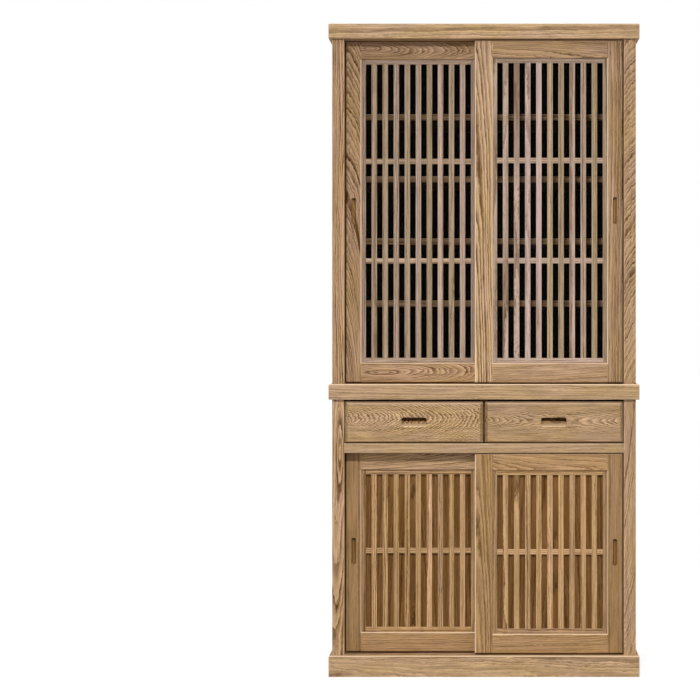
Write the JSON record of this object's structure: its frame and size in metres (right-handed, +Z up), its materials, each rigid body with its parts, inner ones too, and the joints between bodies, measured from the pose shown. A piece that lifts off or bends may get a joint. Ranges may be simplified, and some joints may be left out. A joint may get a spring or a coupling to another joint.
{
  "type": "kitchen cupboard",
  "caption": "Tall wooden kitchen cupboard with glazed sliding lattice doors above, drawers in the middle, and panelled sliding lattice doors below, on a plinth.",
  "frame": {"origin": "on the floor, under the middle of the plinth", "axes": "+Z up, -Y towards the person in front, +X to that person's right"},
  "size_m": [0.9, 0.45, 1.8896],
  "materials": {
    "solid_ash": "satin clear-lacquered ash with open grain",
    "ash_veneer": "satin clear-lacquered ash veneer on board",
    "door_panel_board": "brown-stained plain-sawn veneer, satin",
    "drawer_board": "pale unstained solid board, planed",
    "back_board": "thin dark-faced plywood, matte",
    "dowel_beech": "fluted beech dowel, unfinished",
    "pin_steel": "turned steel, bright",
    "smoked_glass": "smoked float glass, polished"
  },
  "bodies": {
    "root": {"cap_board": "solid_ash", "case_dowels": "dowel_beech", "counter_board": "solid_ash", "drawer_divider": "ash_veneer", "drawer_runners": "drawer_board", "dust_board": "drawer_board", "lower_back_panel": "back_board", "lower_floor": "ash_veneer", "lower_left_post": "solid_ash", "lower_left_side": "ash_veneer", "lower_right_post": "solid_ash", "lower_right_side": "ash_veneer", "lower_shelf": "ash_veneer", "middle_rail": "solid_ash", "plinth_back": "solid_ash", "plinth_front": "solid_ash", "plinth_left": "solid_ash", "plinth_right": "solid_ash", "shelf_pins": "pin_steel", "upper_back_panel": "back_board", "upper_left_post": "solid_ash", "upper_left_side": "ash_veneer", "upper_right_post": "solid_ash", "upper_right_side": "ash_veneer", "upper_shelf_1": "ash_veneer", "upper_shelf_2": "ash_veneer", "upper_shelf_3": "ash_veneer", "upper_shelf_4": "ash_veneer"},
    "upper_left_door": {"upper_left_door_bottom_rail": "solid_ash", "upper_left_door_glass": "smoked_glass", "upper_left_door_lattice": "solid_ash", "upper_left_door_meeting_stile": "solid_ash", "upper_left_door_outer_stile": "solid_ash", "upper_left_door_top_rail": "solid_ash"},
    "upper_right_door": {"upper_right_door_bottom_rail": "solid_ash", "upper_right_door_glass": "smoked_glass", "upper_right_door_lattice": "solid_ash", "upper_right_door_meeting_stile": "solid_ash", "upper_right_door_outer_stile": "solid_ash", "upper_right_door_top_rail": "solid_ash"},
    "lower_left_door": {"lower_left_door_bottom_rail": "solid_ash", "lower_left_door_lattice": "solid_ash", "lower_left_door_meeting_stile": "solid_ash", "lower_left_door_outer_stile": "solid_ash", "lower_left_door_panel": "door_panel_board", "lower_left_door_top_rail": "solid_ash"},
    "lower_right_door": {"lower_right_door_bottom_rail": "solid_ash", "lower_right_door_lattice": "solid_ash", "lower_right_door_meeting_stile": "solid_ash", "lower_right_door_outer_stile": "solid_ash", "lower_right_door_panel": "door_panel_board", "lower_right_door_top_rail": "solid_ash"},
    "left_drawer": {"left_drawer_back": "drawer_board", "left_drawer_bottom": "drawer_board", "left_drawer_front": "solid_ash", "left_drawer_sides": "drawer_board"},
    "right_drawer": {"right_drawer_back": "drawer_board", "right_drawer_bottom": "drawer_board", "right_drawer_front": "solid_ash", "right_drawer_sides": "drawer_board"}
  },
  "joints": [
    {"name": "upper_left_door_slide", "type": "slide", "parent": "root", "child": "upper_left_door", "axis": [1, 0, 0], "range_m": [0, 0.3761]},
    {"name": "upper_right_door_slide", "type": "slide", "parent": "root", "child": "upper_right_door", "axis": [-1, 0, 0], "range_m": [0, 0.3761]},
    {"name": "lower_left_door_slide", "type": "slide", "parent": "root", "child": "lower_left_door", "axis": [1, 0, 0], "range_m": [0, 0.3761]},
    {"name": "lower_right_door_slide", "type": "slide", "parent": "root", "child": "lower_right_door", "axis": [-1, 0, 0], "range_m": [0, 0.3761]},
    {"name": "left_drawer_slide", "type": "slide", "parent": "root", "child": "left_drawer", "axis": [0, -1, 0], "range_m": [0, 0.3067]},
    {"name": "right_drawer_slide", "type": "slide", "parent": "root", "child": "right_drawer", "axis": [0, -1, 0], "range_m": [0, 0.3067]}
  ]
}
